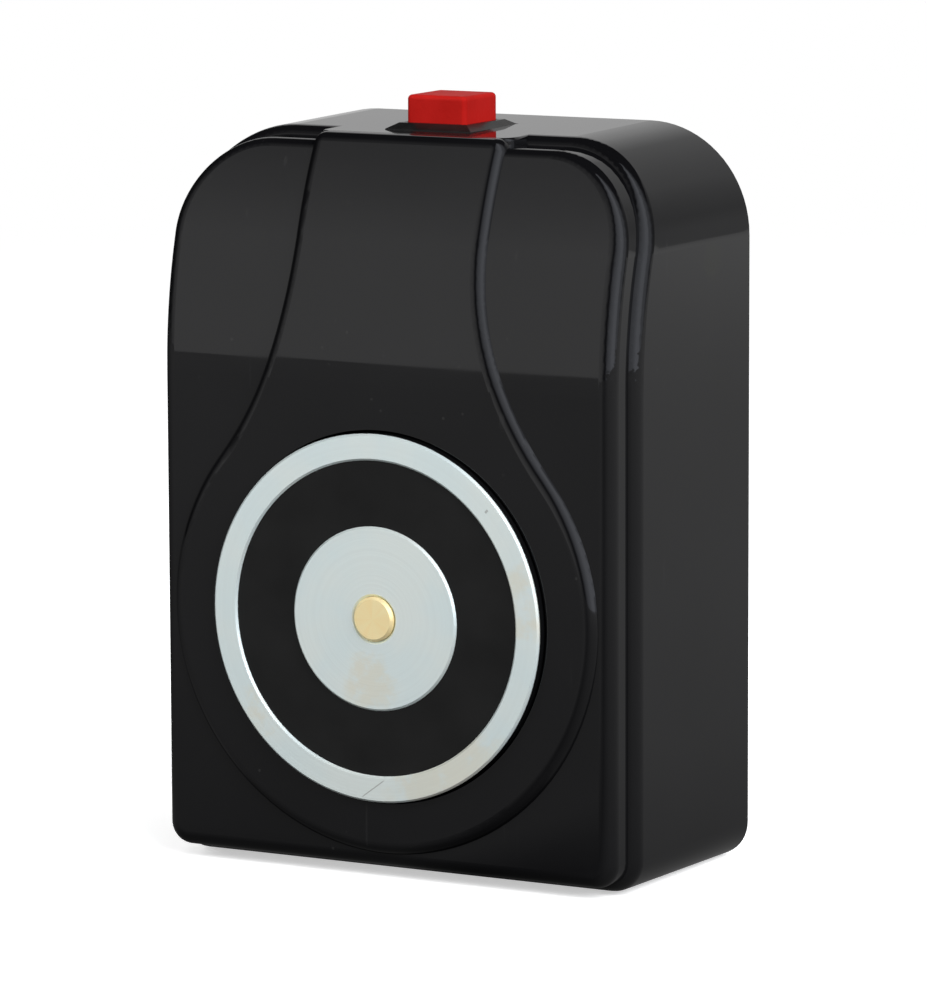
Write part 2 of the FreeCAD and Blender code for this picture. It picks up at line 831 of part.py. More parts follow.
def spacer_places():
    return (board_x - board_screw_half_pitch, board_x + board_screw_half_pitch)


def pole_heights():
    """Z of each terminal."""
    middle = (terminal_poles - 1) / 2.0
    return [board_z + (k - middle) * terminal_pitch for k in range(terminal_poles)]


def diode_ends():
    return (board_z - diode_span / 2.0, board_z + diode_span / 2.0)


def make_circuit_board():
    """Connection board with holes for its screws, pins and wires."""
    half_x, half_z = board_width / 2.0, board_size_z / 2.0
    board = block(board_x - half_x, board_x + half_x, board_front, board_back,
                  board_z - half_z, board_z + half_z)

    def across_board(edge):
        return len(edge.Vertexes) == 2 and abs(edge.tangentAt(edge.FirstParameter).y) > 0.99

    board = board.makeFillet(board_corner_r, edges_where(board, across_board))
    holes = [(board_screw_hole_d, x, board_z) for x in spacer_places()]
    holes += [(cage_pin_d, terminal_x, z) for z in pole_heights()]
    holes += [(conductor_d, x, coil_pad_z) for x in (-lead_pitch / 2.0, lead_pitch / 2.0)]
    holes += [(conductor_d, x, switch_pad_z) for x in (-contact_strip_x, contact_strip_x)]
    holes += [(conductor_d, diode_x, z) for z in diode_ends()]
    return board.cut([rod_y(d / 2.0, board_front - 1.0, board_back + 1.0, x, z) for d, x, z in holes])


def make_board_spacers():
    """Two threaded spacers riveted into the plate."""
    spacers = []
    for x in spacer_places():
        body = rod_y(board_spacer_d / 2.0, board_back, plate_front, x, board_z)
        body = body.fuse(rod_y(board_screw_d / 2.0, plate_front, 0, x, board_z))
        thread = rod_y(board_screw_d / 2.0, board_back, board_back + board_screw_bite, x, board_z)
        spacers.append(body.cut(thread))
    return Part.makeCompound(spacers)


def make_board_screws():
    """Pan-head screws through the board into the spacers."""
    screws = []
    half = board_screw_head_d * cross_reach
    for x in spacer_places():
        head_front = board_front - board_screw_head_h
        head = rod_y(board_screw_head_d / 2.0, head_front, board_front, x, board_z)
        rim = edges_where(head, lambda e: all(abs(v.Point.y - head_front) < 0.01 for v in e.Vertexes))
        head = head.makeFillet(board_screw_head_h * 0.35, rim)
        shank = rod_y(board_screw_d / 2.0, board_front, board_back + board_screw_bite, x, board_z)
        screw = head.fuse(shank)
        low, high = head_front - 1.0, head_front + cross_depth
        thin = cross_width / 2.0
        screw = screw.cut([block(x - half, x + half, low, high, board_z - thin, board_z + thin),
                           block(x - thin, x + thin, low, high, board_z - half, board_z + half)])
        screws.append(screw)
    return Part.makeCompound(screws)


def make_terminal_housing():
    """Moulded housing with a chamber, a wire entry and a screw hole for each pole."""
    half_x = terminal_block_width / 2.0
    half_z = terminal_poles * terminal_pitch / 2.0
    housing = block(terminal_x - half_x, terminal_x + half_x, block_front, board_front,
                    board_z - half_z, board_z + half_z)
    chamber_x = cage_length / 2.0 + cage_play
    chamber_z = cage_width / 2.0 + cage_play
    chamber_front = board_front - cage_depth - cage_play
    entry_y = board_front - cage_depth / 2.0
    entry = entry_width / 2.0
    cuts = []
    for z in pole_heights():
        cuts.append(block(terminal_x - chamber_x, terminal_x + chamber_x, chamber_front, board_front + 1.0,
                          z - chamber_z, z + chamber_z))
        cuts.append(block(terminal_x - half_x - 1.0, terminal_x, entry_y - entry, entry_y + entry,
                          z - entry, z + entry))
        cuts.append(rod_y(clamp_screw_bore_d / 2.0, block_front - 1.0, chamber_front + 1.0, terminal_x, z))
    return housing.cut(cuts)


def make_terminal_cages():
    """Brass clamp cages, each with a pin through the board."""
    half_x, half_z = cage_length / 2.0, cage_width / 2.0
    front = board_front - cage_depth
    pin_end = board_back + solder_height
    cages = []
    for z in pole_heights():
        cage = block(terminal_x - half_x, terminal_x + half_x, front, board_front, z - half_z, z + half_z)
        wire_z = half_z - cage_side
        cage = cage.cut([
            block(terminal_x - half_x - 1.0, terminal_x + half_x + 1.0, front + cage_wall,
                  board_front - cage_wall, z - wire_z, z + wire_z),
            rod_y(clamp_screw_d / 2.0, front - 1.0, front + cage_wall + 1.0, terminal_x, z),
        ])
        pin = rod_y(cage_pin_d / 2.0, board_front, pin_end, terminal_x, z)
        solder = Part.makeCone(solder_d / 2.0, cage_pin_d / 2.0, solder_height, V(terminal_x, board_back, z), Y_AXIS)
        cages.append(cage.fuse([pin, solder]))
    return Part.makeCompound(cages)


def make_terminal_screws():
    """Slotted clamp screws in the cages."""
    head_front = block_front + clamp_screw_sink
    head_back = head_front + clamp_screw_head_h
    tip = board_front - cage_depth + cage_wall + clamp_screw_reach
    thin = clamp_slot_width / 2.0
    screws = []
    for z in pole_heights():
        screw = rod_y(clamp_screw_head_d / 2.0, head_front, head_back, terminal_x, z)
        screw = screw.fuse(rod_y(clamp_screw_d / 2.0, head_back, tip, terminal_x, z))
        slot = block(terminal_x - clamp_screw_head_d, terminal_x + clamp_screw_head_d, head_front - 1.0,
                     head_front + clamp_slot_depth, z - thin, z + thin)
        screws.append(screw.cut(slot))
    return Part.makeCompound(screws)


def make_suppressor_diode():
    """Diode across the coil: a body on a bent wire soldered behind the board."""
    y = board_front - diode_d / 2.0 - diode_bend_r / 2.0
    low, high = diode_ends()
    back = board_back + solder_height
    points = [V(diode_x, back, low), V(diode_x, y, low), V(diode_x, y, high), V(diode_x, back, high)]
    wire = bent_tube(points, conductor_d, diode_bend_r)
    half = diode_length / 2.0
    body = rod_z(diode_d / 2.0, board_z - half, board_z + half, diode_x, y)
    cones = []
    for z in (low, high):
        cones.append(Part.makeCone(solder_d / 2.0, conductor_d / 2.0, solder_height, V(diode_x, board_back, z), Y_AXIS))
    return wire.fuse([body] + cones)


def switch_block(size_x, size_y, z0, z1):
    """Box centred on the button's axis."""
    return block(-size_x / 2.0, size_x / 2.0, -switch_depth - size_y / 2.0, -switch_depth + size_y / 2.0, z0, z1)


def make_switch_body():
    """Moulded switch housing: bevelled flange, cap well, middle floor, contact chamber, barbs."""
    base_x, base_y = flange_width + 2.0 * flange_bevel, flange_reach + 2.0 * flange_bevel
    land = switch_block(base_x, base_y, seat_z, seat_z + flange_land)

    def rectangle(size_x, size_y, z):
        x, y = size_x / 2.0, size_y / 2.0
        corners = [(-x, -y), (x, -y), (x, y), (-x, y), (-x, -y)]
        return Part.makePolygon([V(cx, cy - switch_depth, z) for cx, cy in corners])

    bevel = Part.makeLoft([rectangle(base_x, base_y, seat_z + flange_land),
                           rectangle(flange_width, flange_reach, flange_z)], True, True)
    body = switch_block(switch_size, switch_size, switch_foot, seat_z)
    body = body.fuse([land, bevel])
    well = cap_size + 2.0 * cap_gap
    cuts = [
        switch_block(well, well, middle_z, flange_z + 1.0),
        switch_block(chamber_size, chamber_size, switch_foot - 1.0, middle_z - middle_floor),
        rod_z(stem_d / 2.0 + stem_fit, middle_z - 2.0 * middle_floor, middle_z + 1.0, 0, -switch_depth),
    ]
    half, out = barb_width / 2.0, switch_size / 2.0
    barb_top = z_high - wall - draft * switch_depth - barb_gap
    slot_top = barb_top + barb_slot
    barbs = []
    for side in (-1.0, 1.0):
        wedge = Part.Face(Part.makePolygon([
            V(side * (out - 0.5), -switch_depth - half, barb_top),
            V(side * (out + barb_proud), -switch_depth - half, barb_top),
            V(side * out, -switch_depth - half, barb_top - barb_height),
            V(side * (out - 0.5), -switch_depth - half, barb_top - barb_height),
            V(side * (out - 0.5), -switch_depth - half, barb_top),
        ])).extrude(Y_AXIS * barb_width)
        barbs.append(wedge)
        inner, outer = sorted((side * (well / 2.0 - 0.1), side * (out + 1.0)))
        for y in (-switch_depth - half - barb_slot, -switch_depth + half):
            cuts.append(block(inner, outer, y, y + barb_slot, middle_z, slot_top))
        cuts.append(block(inner, outer, -switch_depth - half - barb_slot, -switch_depth + half + barb_slot,
                          barb_top, slot_top))
    return body.cut(cuts).fuse(barbs).removeSplitter()


def make_switch_base():
    """Base of the switch: it closes the contact chamber and seats the spring."""
    size = chamber_size - 2.0 * base_fit
    base = switch_block(size, size, switch_foot, base_top)
    seat = rod_z(spring_seat_d / 2.0, base_top, base_top + spring_seat_height, 0, -switch_depth)
    base = base.fuse(seat)
    half_x, half_y = contact_thickness / 2.0, contact_width / 2.0
    slots = []
    for x in (-contact_strip_x, contact_strip_x):
        slots.append(block(x - half_x, x + half_x, -switch_depth - half_y, -switch_depth + half_y,
                           switch_foot - 1.0, base_top + 1.0))
    return base.cut(slots).removeSplitter()


def make_button_cap():
    """Red push cap with rounded edges, a stem and a spigot for the contact bridge."""
    cap = switch_block(cap_size, cap_size, cap_foot, cap_z)

    def outer_edge(edge):
        return is_upright(edge) or all(abs(v.Point.z - cap_z) < 0.01 for v in edge.Vertexes)

    cap = cap.makeFillet(cap_edge_r, edges_where(cap, outer_edge))
    stem = rod_z(stem_d / 2.0, bridge_top, cap_foot, 0, -switch_depth)
    spigot = rod_z(spigot_d / 2.0, bridge_top - spigot_length, bridge_top, 0, -switch_depth)
    return cap.fuse([stem, spigot]).removeSplitter()


def make_contact_bridge():
    """Moving contact on the stem's spigot."""
    bridge = switch_block(bridge_length, bridge_width, bridge_foot, bridge_top)
    return bridge.cut(rod_z(spigot_d / 2.0, bridge_foot - 1.0, bridge_top + 1.0, 0, -switch_depth))


def make_switch_terminals():
    """Two fixed contacts: a tail through the base, an upright strip and a foot over the bridge."""
    half_x, half_y = contact_thickness / 2.0, contact_width / 2.0
    terminals = []
    for side in (-1.0, 1.0):
        x = side * contact_strip_x
        strip = block(x - half_x, x + half_x, -switch_depth - half_y, -switch_depth + half_y,
                      tail_end, contact_top)
        inner, outer = sorted((side * contact_foot_x, x))
        foot = block(inner, outer, -switch_depth - half_y, -switch_depth + half_y, bridge_top, contact_top)
        terminals.append(strip.fuse(foot).removeSplitter())
    return Part.makeCompound(terminals)


def make_switch_spring():
    """Spring that lifts the cap and presses the bridge against the fixed contacts."""
    spring = coil_spring(switch_spring_wire_d, switch_spring_d, bridge_foot - base_top, switch_spring_turns)
    spring.translate(V(0, -switch_depth, base_top))
    return spring


def save(name, shape):
    shape.exportStep(os.path.join(PARTS, name + ".step"))


os.makedirs(PARTS, exist_ok=True)
save("front_cover", make_front_cover())
save("base_plate", make_base_plate())
save("cover_brackets", make_cover_brackets())
save("clinch_nuts", make_clinch_nuts())
save("cover_screws", make_cover_screws())
save("cable_grommet", make_cable_grommet())
save("magnet_pot", make_magnet_pot())
save("coil_bobbin", make_coil_bobbin())
save("coil_winding", make_coil_winding())
save("potting_ring", make_potting_ring())
save("ejector_pin", make_ejector_pin())
save("ejector_spring", make_ejector_spring())
save("ejector_plug", make_ejector_plug())
save("magnet_spacer", make_magnet_spacer())
save("magnet_screws", make_magnet_screws())
save("lead_bushing", make_lead_bushing())
save("coil_leads", make_coil_leads())
save("circuit_board", make_circuit_board())
save("board_spacers", make_board_spacers())
save("board_screws", make_board_screws())
save("terminal_housing", make_terminal_housing())
save("terminal_cages", make_terminal_cages())
save("terminal_screws", make_terminal_screws())
save("suppressor_diode", make_suppressor_diode())
save("switch_body", make_switch_body())
save("switch_base", make_switch_base())
save("button_cap", make_button_cap())
save("contact_bridge", make_contact_bridge())
save("switch_terminals", make_switch_terminals())
save("switch_spring", make_switch_spring())
save("switch_leads", make_switch_leads())
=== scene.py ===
import math

import bmesh
import bpy
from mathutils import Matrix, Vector


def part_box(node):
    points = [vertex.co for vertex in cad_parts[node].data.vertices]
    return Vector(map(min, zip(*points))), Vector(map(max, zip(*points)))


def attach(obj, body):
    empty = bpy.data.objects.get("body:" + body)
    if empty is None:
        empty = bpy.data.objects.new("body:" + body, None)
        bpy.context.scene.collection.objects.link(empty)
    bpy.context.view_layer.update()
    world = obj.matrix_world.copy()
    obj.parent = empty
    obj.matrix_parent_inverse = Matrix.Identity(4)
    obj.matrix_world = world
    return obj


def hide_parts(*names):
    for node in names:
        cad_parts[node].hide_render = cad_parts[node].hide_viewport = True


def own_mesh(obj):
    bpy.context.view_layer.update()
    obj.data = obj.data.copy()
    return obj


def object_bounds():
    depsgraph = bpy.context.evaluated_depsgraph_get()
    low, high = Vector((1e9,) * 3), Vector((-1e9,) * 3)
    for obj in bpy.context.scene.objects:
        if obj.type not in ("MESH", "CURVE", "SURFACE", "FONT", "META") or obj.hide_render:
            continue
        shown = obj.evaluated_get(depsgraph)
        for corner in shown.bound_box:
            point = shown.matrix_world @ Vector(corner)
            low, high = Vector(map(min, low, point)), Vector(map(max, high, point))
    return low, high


# Lengths are in metres and angles in radians, unless a comment says degrees.

# Camera found by fitting the case's outline to the photograph
VIEW_AZIMUTH = 0.50333
VIEW_TILT = 0.14923
VIEW_ROLL = -0.00411
VIEW_TARGET = Vector((0.0, 0.0, 0.0151))
VIEW_DISTANCE = 0.94504
VIEW_SIDE = 0.00773
VIEW_UP = 0.00314
LENS_MM = 222.33
SENSOR_MM = 36.0
CLIP_NEAR = 0.05
CLIP_FAR = 20.0

# Heights and depths that the materials and the floor go by
CASE_FOOT = -0.0399
CASE_TOP = 0.0711
MAGNET_FACE = -0.0436
FLOOR_FRONT = -1.22
FLOOR_RIGHT = 1.22
FLOOR_LEFT = -3.2
FLOOR_BACK = 4.0

# The studio as the gloss mirrors it. Each light is a band of azimuths times a band of elevations, in
# degrees and radiance. Azimuth 0 is straight in front, 90 is the object's right, 180 is behind.
AZIMUTH_START = -130.0
FULL_TURN = 360.0
FRONT_LEFT_AROUND = [
    (-92, 0.0), (-82, 0.02), (-70, 0.1), (-60, 0.26), (-48, 0.46), (-38, 0.72),
    (-27, 0.8), (-14, 0.68), (-3, 0.54), (6, 0.34), (12, 0.13), (18, 0.0),
]
FRONT_LEFT_UP = [(-90, 1.0), (22, 1.0), (32, 0.78), (42, 0.64), (50, 0.45), (62, 0.27), (68, 0.0)]
RIGHT_AROUND = [
    (22, 0.0), (28, 0.2), (35, 0.55), (45, 0.82), (60, 1.08), (74, 1.38),
    (90, 1.3), (98, 0.75), (112, 0.62), (119, 0.35), (126, 0.12), (133, 0.0),
]
RIGHT_UP = [(-90, 1.0), (70, 1.0), (90, 0.7)]
RIGHT_TINT = (0.96, 1.0, 1.1)
BACK_AROUND = [
    (120, 0.0), (130, 0.1), (142, 0.15), (151, 0.28), (162, 0.39),
    (190, 0.38), (202, 0.62), (216, 0.64), (226, 0.0),
]
BACK_UP = [(-90, 1.0), (3, 1.0), (9, 0.8), (16, 0.86), (33, 1.0), (38, 0.0)]
AMBIENT = 0.006

# Painted light and shade: the floor glows for the gloss to mirror, its brightness set by distance from
# the object's centre, by azimuth, in the painted light patches far behind, and by distance from the
# case, as a painted shadow
FLOOR_TONES = [
    (0.04, 0.2), (0.12, 0.28), (0.25, 0.335), (0.6, 0.41), (1.1, 0.44), (1.6, 0.38), (2.4, 0.28),
]
FLOOR_AROUND = [
    (-130, 0.05), (-110, 0.06), (-90, 0.18), (-70, 0.42), (-55, 0.65), (-40, 0.78), (-15, 0.78),
    (0, 0.88), (10, 0.48), (20, 0.3), (32, 0.52), (50, 0.8), (90, 0.98), (120, 1.0), (150, 0.9),
    (190, 0.7), (205, 0.1), (230, 0.05),
]
FLOOR_PATCH = [(138, 0.0), (146, 0.2), (158, 0.2), (168, 0.0), (192, 0.0), (202, 0.5), (230, 0.5)]
FLOOR_PATCH_START, FLOOR_PATCH_FULL = 0.5, 1.1
# Painted shadow on the floor's mirrored glow: its share of brightness by distance from the case's
# footprint
FLOOR_PAINTED_SHADOW = [(0.0, 0.42), (0.008, 0.8), (0.02, 1.0)]
FLOOR_PAINTED_SHADOW_SIDE = 0.7  # share of the half width beyond which the right side's floor is not shaded

# The floor as the camera sees it: pale paper with soft shadows that fades to plain white
PAPER_DARK, PAPER_LIGHT = (0.84, 0.84, 0.84), (0.87, 0.87, 0.87)
PAPER_SCALE = 3.0
PAPER_GLOW = 0.5
PAPER_END, WHITE_START = 0.12, 0.9

# Lamps that light the matt finishes: name, place, target, size and power. Gloss doesn't mirror them.
FILLS = [
    ("fill_left", (-0.9, -1.2, 0.9), (0.0, 0.0, 0.02), 0.9, 16.5),
    ("fill_right", (1.2, -0.7, 0.8), (0.0, 0.0, 0.02), 0.9, 31.5),
    ("fill_top", (0.0, 0.1, 1.6), (0.0, 0.0, 0.0), 1.4, 8.0),
]

# Irregular patches: the share of their reach where they are full, the noise that frays them, how much
# nearness counts against that noise, and how soft their edge is
PATCH_CORE = 0.3
PATCH_DETAIL, PATCH_FRAY = 5.0, 0.62
PATCH_NEARNESS = 0.45
PATCH_EDGE_LOW, PATCH_EDGE_HIGH = -0.04, 0.3

# Straw-coloured patches in the zinc: x, z, reach, noise scale and threshold
STRAW_PATCHES = [
    (-0.001, -0.0095, 0.0075, 420.0, 0.72),
    (0.012, -0.022, 0.016, 300.0, 0.66),
    (-0.020, -0.016, 0.009, 300.0, 0.86),
    (0.026, 0.004, 0.012, 260.0, 0.78),
]
# Scratches in the zinc: the x and z of both ends, and half the width
ZINC_SCRATCHES = [
    ((0.0018, -0.0239), (-0.0024, -0.0270), 0.00012),
    ((0.0187, 0.0171), (0.0192, 0.0176), 0.00025),
]
# Depth behind the magnet's face over which the finish turns dark, on the pot's outer wall
ZINC_END, WALL_START = 0.00042, 0.00055

# The neck of the raised panel, where the case's top face runs forward round the push button's flange
NECK_HALF_WIDTH = 0.0162
NECK_BACK = -0.02395
NECK_FRONT = -0.03108
NECK_CORNER = 0.002
NECK_CORNER_STEPS = 6
NECK_EDGE = 0.0005
NECK_EDGE_STEPS = 5
NECK_FOOT = 0.069
FLANGE_HALF_WIDTH = 0.0073
FLANGE_FRONT = -0.0266
TOP_DRAFT = math.radians(1.0)
SKIN = 0.000015

# The two coil springs: CAD node, wire, active turns between the closed end turns, index of the axis,
# the joint that presses them, its travel, and whether the end that stays put is the high one
SPRINGS = [
    ("switch_spring", 0.0004, 5, 2, "button_press", 0.0025, False),
    ("ejector_spring", 0.0009, 6, 1, "pin_push", 0.00045, True),
]
STEPS_A_TURN = 32
WIRE_SIDES = 10

# Simple finishes: darker colour, lighter colour, noise scale, roughness, metallic and specular level
PLAIN_FINISHES = {
    "plated_steel": ((0.64, 0.65, 0.66), (0.70, 0.71, 0.72), 80.0, 0.35, 1.0, 0.5),
    "dark_screw": ((0.03, 0.03, 0.032), (0.05, 0.05, 0.05), 200.0, 0.4, 0.6, 0.5),
    "black_rubber": ((0.012, 0.012, 0.012), (0.02, 0.02, 0.02), 150.0, 0.75, 0.0, 0.5),
    "potting_resin": ((0.004, 0.004, 0.004), (0.007, 0.007, 0.007), 120.0, 0.5, 0.0, 0.3),
    "white_nylon": ((0.75, 0.73, 0.66), (0.82, 0.80, 0.74), 90.0, 0.5, 0.0, 0.5),
    "enamelled_copper": ((0.30, 0.09, 0.03), (0.42, 0.14, 0.05), 400.0, 0.3, 0.6, 0.5),
    "grey_aluminium": ((0.62, 0.63, 0.64), (0.72, 0.73, 0.74), 60.0, 0.4, 1.0, 0.5),
    "lead_insulation": ((0.02, 0.04, 0.20), (0.03, 0.06, 0.26), 90.0, 0.4, 0.0, 0.5),
    "board_laminate": ((0.01, 0.10, 0.03), (0.02, 0.14, 0.05), 250.0, 0.35, 0.0, 0.5),
    "green_plastic": ((0.02, 0.22, 0.07), (0.03, 0.27, 0.09), 120.0, 0.45, 0.0, 0.5),
    "diode_body": ((0.01, 0.01, 0.01), (0.02, 0.02, 0.02), 200.0, 0.4, 0.0, 0.5),
    "matte_black_plastic": ((0.004, 0.004, 0.004), (0.008, 0.008, 0.008), 300.0, 0.24, 0.0, 0.3),
}
PLAIN_GRAIN_SCALE = 900.0
PLAIN_GRAIN_STRENGTH = 0.1
PLAIN_GRAIN_DEPTH = 0.0001

# The finish of each CAD node
NODES_BY_FINISH = {
    "gloss_black_plastic": ["front_cover"],
    "zinc_plated_iron": ["magnet_pot"],
    "turned_brass": ["ejector_pin", "board_spacers", "terminal_cages", "contact_bridge",
                     "switch_terminals"],
    "red_plastic": ["button_cap"],
    "plated_steel": ["base_plate", "cover_brackets", "clinch_nuts", "ejector_spring", "ejector_plug",
                     "magnet_screws", "board_screws", "terminal_screws", "switch_spring"],
    "dark_screw": ["cover_screws"],
    "black_rubber": ["cable_grommet"],
    "potting_resin": ["potting_ring"],
    "white_nylon": ["coil_bobbin", "lead_bushing"],
    "enamelled_copper": ["coil_winding"],
    "grey_aluminium": ["magnet_spacer"],
    "lead_insulation": ["coil_leads", "switch_leads"],
    "board_laminate": ["circuit_board"],
    "green_plastic": ["terminal_housing"],
    "diode_body": ["suppressor_diode"],
    "matte_black_plastic": ["switch_body", "switch_base"],
}


def add_node(tree, kind, **inputs):
    """One shader node. Keyword inputs are socket names, with underscores for spaces."""
    node = tree.nodes.new(kind)
    for name, value in inputs.items():
        set_input(tree, node.inputs[name.replace("_", " ")], value)
    return node


def set_input(tree, socket, value):
    """Links a socket to another node's output, or sets its value. A plain colour gets its alpha."""
    if isinstance(value, bpy.types.NodeSocket):
        tree.links.new(value, socket)
    elif socket.type == "RGBA":
        socket.default_value = (*value[:3], 1.0)
    else:
        socket.default_value = value


def maths(tree, operation, a, b=None):
    node = tree.nodes.new("ShaderNodeMath")
    node.operation = operation
    set_input(tree, node.inputs[0], a)
    if b is not None:
        set_input(tree, node.inputs[1], b)
    return node.outputs[0]


def ramp(tree, factor, stops):
    """Colour ramp. Stops are (position, value or colour)."""
    node = tree.nodes.new("ShaderNodeValToRGB")
    elements = node.color_ramp.elements
    while len(elements) < len(stops):
        elements.new(0.5)
    for element, (position, value) in zip(elements, stops):
        element.position = position
        colour = value if isinstance(value, tuple) else (value, value, value)
        element.color = (*colour, 1.0)
    tree.links.new(factor, node.inputs[0])
    return node.outputs[0]


def mixed(tree, factor, a, b):
    """Mix of two colours."""
    node = tree.nodes.new("ShaderNodeMix")
    node.data_type = "RGBA"
    for socket, value in zip((node.inputs[0], node.inputs[6], node.inputs[7]), (factor, a, b)):
        set_input(tree, socket, value)
    return node.outputs[2]


def new_material(name):
    material = bpy.data.materials.new(name)
    material.use_nodes = True
    tree = material.node_tree
    shader = tree.nodes["Principled BSDF"]
    place = tree.nodes.new("ShaderNodeTexCoord").outputs["Object"]
    return material, tree, shader, place


def noise(tree, place, scale, detail=2.0, rough=0.5):
    return add_node(tree, "ShaderNodeTexNoise", Vector=place, Scale=scale, Detail=detail,
                    Roughness=rough).outputs[0]


def bump(tree, shader, height, strength, distance):
    node = add_node(tree, "ShaderNodeBump", Height=height, Strength=strength, Distance=distance)
    tree.links.new(node.outputs[0], shader.inputs["Normal"])


def steps(tree, value, low, high, out_low=0.0, out_high=1.0):
    """Smooth step of a value, held between its two ends."""
    node = tree.nodes.new("ShaderNodeMapRange")
    node.interpolation_type = "SMOOTHSTEP"
    for socket, given in zip(node.inputs[1:5], (low, high, out_low, out_high)):
        socket.default_value = given
    tree.links.new(value, node.inputs[0])
    return node.outputs[0]


def axes_of(tree, place):
    """The x, y and z of a place."""
    return add_node(tree, "ShaderNodeSeparateXYZ", Vector=place).outputs


def vector_maths(tree, operation, place, other):
    node = tree.nodes.new("ShaderNodeVectorMath")
    node.operation = operation
    tree.links.new(place, node.inputs[0])
    node.inputs[1].default_value = other
    return node


def distance_to(tree, place, point):
    return vector_maths(tree, "DISTANCE", place, point).outputs["Value"]


def blotch_at(tree, place, point, reach, scale, threshold):
    """Irregular patch round a point: noise that fades out with the distance."""
    near = steps(tree, distance_to(tree, place, point), reach * PATCH_CORE, reach, 1.0, 0.0)
    cloud = noise(tree, place, scale, PATCH_DETAIL, PATCH_FRAY)
    total = maths(tree, "ADD", cloud, maths(tree, "MULTIPLY", near, PATCH_NEARNESS))
    patch = steps(tree, total, threshold + PATCH_EDGE_LOW, threshold + PATCH_EDGE_HIGH)
    return maths(tree, "MULTIPLY", patch, near)


def hairlines(tree, place, turn, spacing, share):
    """Fine straight scratches in one direction, broken into short pieces."""
    mapping = add_node(tree, "ShaderNodeMapping", Vector=place, Rotation=turn,
                       Scale=(spacing, spacing, 14.0))
    lines = noise(tree, mapping.outputs[0], 1.0, 0.0)
    pieces = noise(tree, place, 55.0, 1.0)
    thin = steps(tree, lines, 1.0 - share, 1.0 - share + 0.03)
    return maths(tree, "MULTIPLY", thin, steps(tree, pieces, 0.52, 0.62))


def dust(tree, place, scale, size):
    """Sparse specks."""
    cells = add_node(tree, "ShaderNodeTexVoronoi", Vector=place, Scale=scale)
    speck = steps(tree, cells.outputs["Distance"], size * 0.5, size, 1.0, 0.0)
    chosen = steps(tree, noise(tree, place, scale * 0.37, 2.0), 0.62, 0.68)
    return maths(tree, "MULTIPLY", speck, chosen)


def scratch_along(tree, place, start, end, half_width):
    """One straight scratch between two points, thinning out to its ends."""
    start, end = Vector(start), Vector(end)
    middle, reach = 0.5 * (start + end), 0.5 * (end - start).length
    offset = vector_maths(tree, "SUBTRACT", place, middle).outputs[0]
    direction = (end - start).normalized()
    along = vector_maths(tree, "DOT_PRODUCT", offset, direction).outputs["Value"]
    whole = distance_to(tree, place, middle)
    squares = maths(tree, "SUBTRACT", maths(tree, "MULTIPLY", whole, whole),
                    maths(tree, "MULTIPLY", along, along))
    across = maths(tree, "SQRT", maths(tree, "MAXIMUM", squares, 0.0))
    inside = steps(tree, maths(tree, "ABSOLUTE", along), reach * 0.7, reach, 1.0, 0.0)
    return maths(tree, "MULTIPLY", steps(tree, across, half_width * 0.4, half_width, 1.0, 0.0), inside)


def greatest(tree, values):
    total = values[0]
    for value in values[1:]:
        total = maths(tree, "MAXIMUM", total, value)
    return total


def gloss_black():
    """Moulded glossy black plastic: faint waviness, hairline scratches, specks of dust, a smudge."""
    material, tree, shader, place = new_material("gloss_black_plastic")
    scratch = hairlines(tree, place, (0.4, 1.1, 0.3), 820.0, 0.215)
    specks = dust(tree, place, 420.0, 0.12)
    smudge = blotch_at(tree, place, (0.040, -0.012, 0.052), 0.005, 500.0, 0.7)
    colour = ramp(tree, noise(tree, place, 40.0, 3.0),
                  [(0.3, (0.0024, 0.0024, 0.0028)), (0.8, (0.0038, 0.0038, 0.0043))])
    for mark, strength, tone in (
        (scratch, 0.2, (0.022, 0.022, 0.022)),
        (specks, 0.2, (0.05, 0.05, 0.048)),
        (smudge, 0.3, (0.010, 0.011, 0.006)),
    ):
        colour = mixed(tree, maths(tree, "MULTIPLY", mark, strength), colour, tone)
    tree.links.new(colour, shader.inputs["Base Color"])
    shader.inputs["IOR"].default_value = 1.5
    cloudy = ramp(tree, noise(tree, place, 60.0, 4.0), [(0.35, 0.03), (0.75, 0.075)])
    marks = maths(tree, "MULTIPLY", greatest(tree, (scratch, specks, smudge)), 0.1)
    tree.links.new(maths(tree, "ADD", cloudy, marks), shader.inputs["Roughness"])
    bump(tree, shader, noise(tree, place, 28.0, 1.0), 0.02, 0.002)
    return material


def turned_radius(tree, x, z):
    """Distance from the magnet's axis."""
    squares = maths(tree, "ADD", maths(tree, "MULTIPLY", x, x), maths(tree, "MULTIPLY", z, z))
    return maths(tree, "SQRT", squares)


def bands_along(tree, value, per_unit, detail):
    """Noise along one value: rings along a radius, or a painted fan of sheen along an angle."""
    node = add_node(tree, "ShaderNodeTexNoise", Scale=1.0, Detail=detail)
    node.noise_dimensions = "1D"
    tree.links.new(maths(tree, "MULTIPLY", value, per_unit), node.inputs["W"])
    return node.outputs[0]


